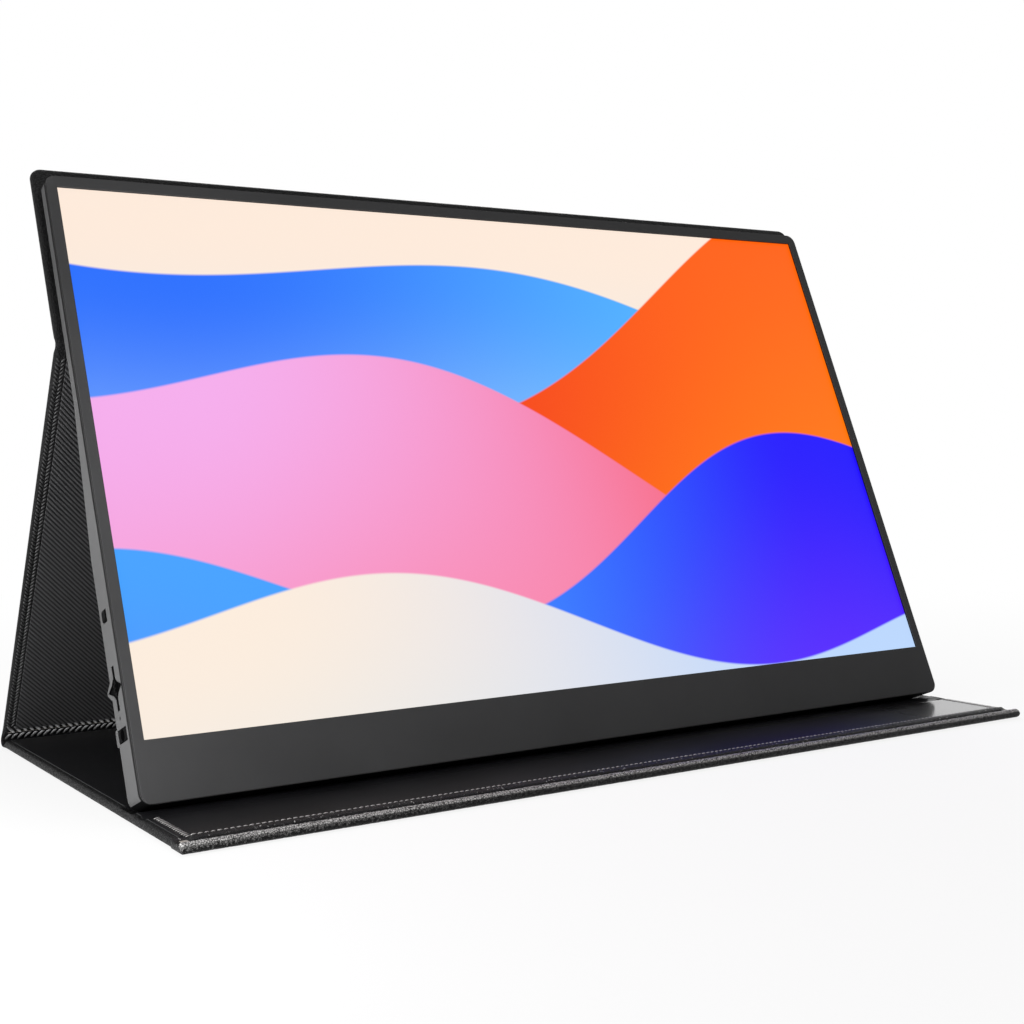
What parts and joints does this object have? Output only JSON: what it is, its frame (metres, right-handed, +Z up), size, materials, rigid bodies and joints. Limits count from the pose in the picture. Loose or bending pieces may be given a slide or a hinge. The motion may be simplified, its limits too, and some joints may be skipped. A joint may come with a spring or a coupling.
{
  "type": "portable monitor",
  "caption": "Slim portable monitor leaning back in a black folding folio cover that works as its stand, with side controls and sockets.",
  "frame": {"origin": "on the table under the middle of the folio's base, halfway between its front edge and rear fold", "axes": "+X to the viewer's right along the screen, the screen faces -Y, +Z up"},
  "size_m": [0.3574, 0.1864, 0.2114],
  "materials": {
    "housing": "fine matte moulded plastic",
    "screen": "satin display surface",
    "optical_film": "white optical film",
    "light_guide": "clear acrylic",
    "frame_plastic": "white moulded plastic",
    "foam_tape": "black foam tape",
    "steel_sheet": "pressed steel sheet",
    "aluminium": "stamped",
    "circuit_board": "solder mask",
    "chip": "moulded epoxy",
    "flat_cable": "flat flexible cable",
    "wire": "wire jacket",
    "speaker": "moulded speaker box",
    "screw": "plated",
    "magnet": "nickel plated",
    "socket": "plated sheet metal",
    "control": "black moulded plastic",
    "light": "clear light pipe",
    "cover_leather": "pebbled black coated fabric",
    "cover_board": "grey stiffening card",
    "twill_lining": "woven look lining",
    "smooth_lining": "smooth satin lining"
  },
  "bodies": {
    "base": {"rear_base_skin": "cover_leather", "rear_base_board": "cover_board", "rear_base_lining": "smooth_lining", "rear_crease": "cover_leather", "lip_crease": "cover_leather"},
    "lip": {"lip_skin": "cover_leather", "lip_board": "cover_board", "lip_lining": "smooth_lining", "lip_edge_roll": "cover_leather", "lip_magnets": "magnet"},
    "leg": {"leg_skin": "cover_leather", "leg_board": "cover_board", "leg_lining": "twill_lining"},
    "monitor": {"backlight_frame": "frame_plastic", "bezel_tape": "foam_tape", "board_components": "chip", "board_screws": "screw", "button_cable": "flat_cable", "chin_magnets": "magnet", "cover_adhesive": "foam_tape", "data_socket_lower": "socket", "data_socket_upper": "socket", "diffuser_sheet": "optical_film", "display_cable": "flat_cable", "front_bezel": "housing", "headphone_jack": "control", "heat_spreader": "aluminium", "jog_switch": "chip", "lcd_cell": "screen", "led_strip": "aluminium", "leg_crease": "cover_leather", "light_guide": "light_guide", "main_board": "circuit_board", "panel_driver_board": "circuit_board", "panel_tray": "steel_sheet", "power_switch": "chip", "rear_cover": "housing", "reflector_sheet": "optical_film", "scaler_chip": "chip", "side_board": "circuit_board", "speaker_lead_left": "wire", "speaker_lead_right": "wire", "speaker_left": "speaker", "speaker_right": "speaker", "status_light": "light", "status_light_pipe": "light", "upper_panel_board": "cover_board", "upper_panel_lining": "twill_lining", "upper_panel_skin": "cover_leather", "video_socket": "socket"},
    "power_button": {"power_button": "control"},
    "jog_carrier": {"jog_carrier": "control", "jog_pin": "screw"},
    "jog_wheel": {"jog_wheel": "control"}
  },
  "joints": [
    {"name": "rear_fold", "type": "hinge", "parent": "base", "child": "leg", "pos_m": [0, 0.09165, 0.0016], "axis": [-1, 0, 0], "range_deg": [0, 116]},
    {"name": "leg_fold", "type": "hinge", "parent": "leg", "child": "monitor", "pos_m": [0, 0.01084, 0.14842], "axis": [1, 0, 0], "range_deg": [0, 45]},
    {"name": "lip_fold", "type": "hinge", "parent": "base", "child": "lip", "pos_m": [0, -0.05785, 0.0006], "axis": [-1, 0, 0], "range_deg": [0, 85]},
    {"name": "power_press", "type": "slide", "parent": "monitor", "child": "power_button", "axis": [1, 0, 0], "range_m": [0, 0.0004], "stiffness_N_per_m": 800},
    {"name": "jog_press", "type": "slide", "parent": "monitor", "child": "jog_carrier", "axis": [1, 0, 0], "range_m": [0, 0.00035], "stiffness_N_per_m": 800},
    {"name": "jog_roll", "type": "hinge", "parent": "jog_carrier", "child": "jog_wheel", "pos_m": [-0.1708, -0.03355, 0.03855], "axis": [0, 0.9272, -0.3746], "range_deg": [-15, 15], "stiffness_Nm_per_rad": 0.01}
  ],
  "couplings": [
    {"joint": "leg_fold", "follows": "rear_fold", "ratio": 0.38793}
  ]
}
